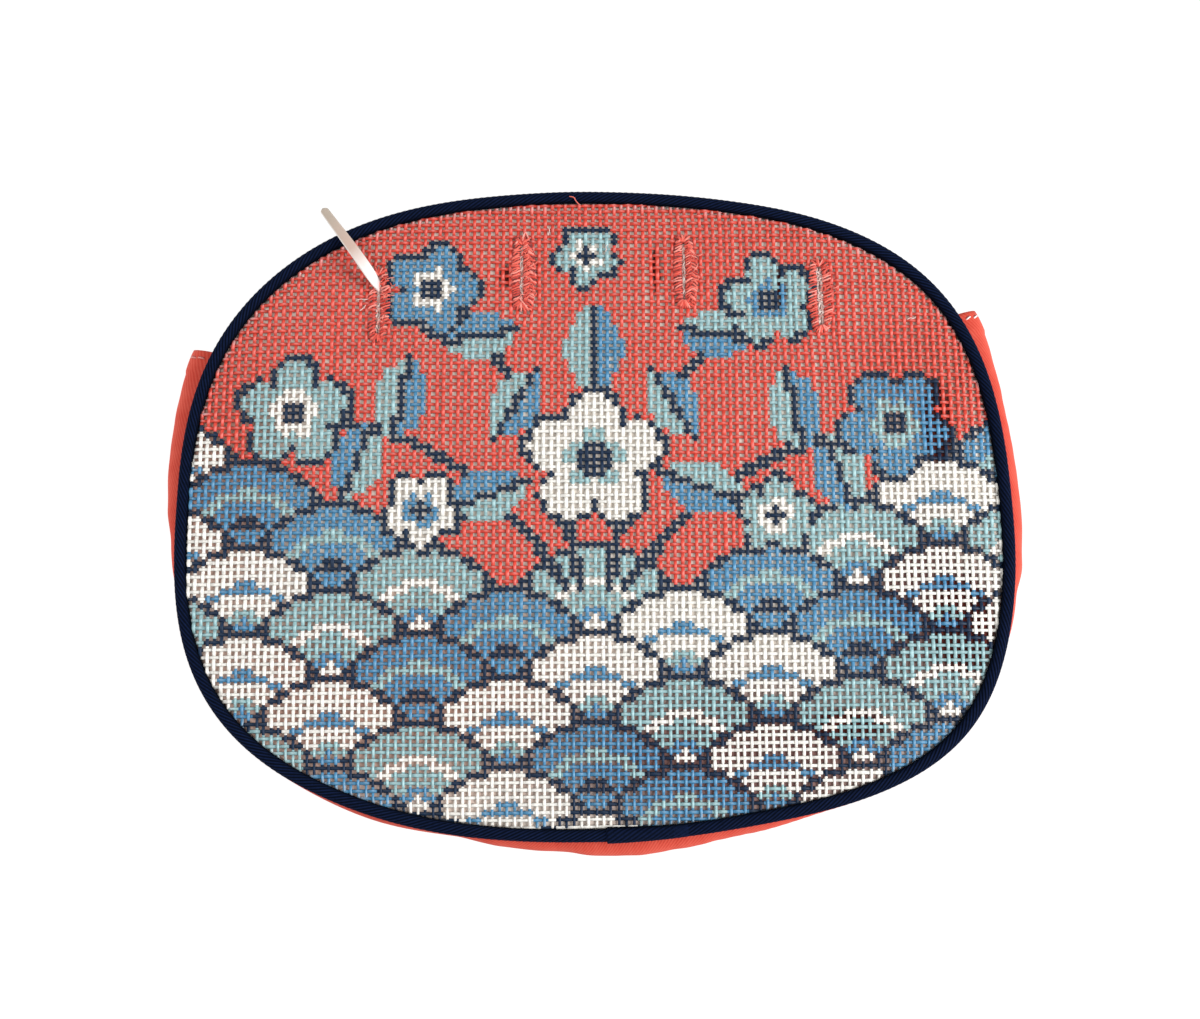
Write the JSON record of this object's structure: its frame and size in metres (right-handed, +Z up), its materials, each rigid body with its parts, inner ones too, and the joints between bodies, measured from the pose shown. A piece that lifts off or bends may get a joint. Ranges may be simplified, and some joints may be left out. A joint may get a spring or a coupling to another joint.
{
  "type": "needlepoint bag cover",
  "caption": "Flat oval bag cover with an open-mesh canvas front, worked buttonholes, corded piped edge, folded cloth gusset and plain back, open along its top.",
  "frame": {"origin": "on the surface the cover lies on, under the middle of the oval", "axes": "+X along the oval's long way, +Y to the open mouth, +Z up out of the canvas front"},
  "size_m": [0.3059, 0.2389, 0.0232],
  "materials": {
    "painted_canvas": "open plain-weave cotton canvas, hand painted, matte",
    "lining_cloth": "plain taupe cotton",
    "navy_twill": "navy cotton twill over a cord",
    "coral_twill": "coral cotton twill",
    "coral_thread": "overcast cotton thread",
    "tie_satin": "narrow white satin tape"
  },
  "bodies": {
    "root": {"canvas_front": "painted_canvas", "front_lining": "lining_cloth", "edge_piping": "navy_twill", "gusset": "coral_twill", "back_panel": "coral_twill", "tie": "tie_satin", "buttonhole_1": "coral_thread", "buttonhole_2": "coral_thread", "buttonhole_3": "coral_thread", "buttonhole_4": "coral_thread"}
  },
  "joints": []
}
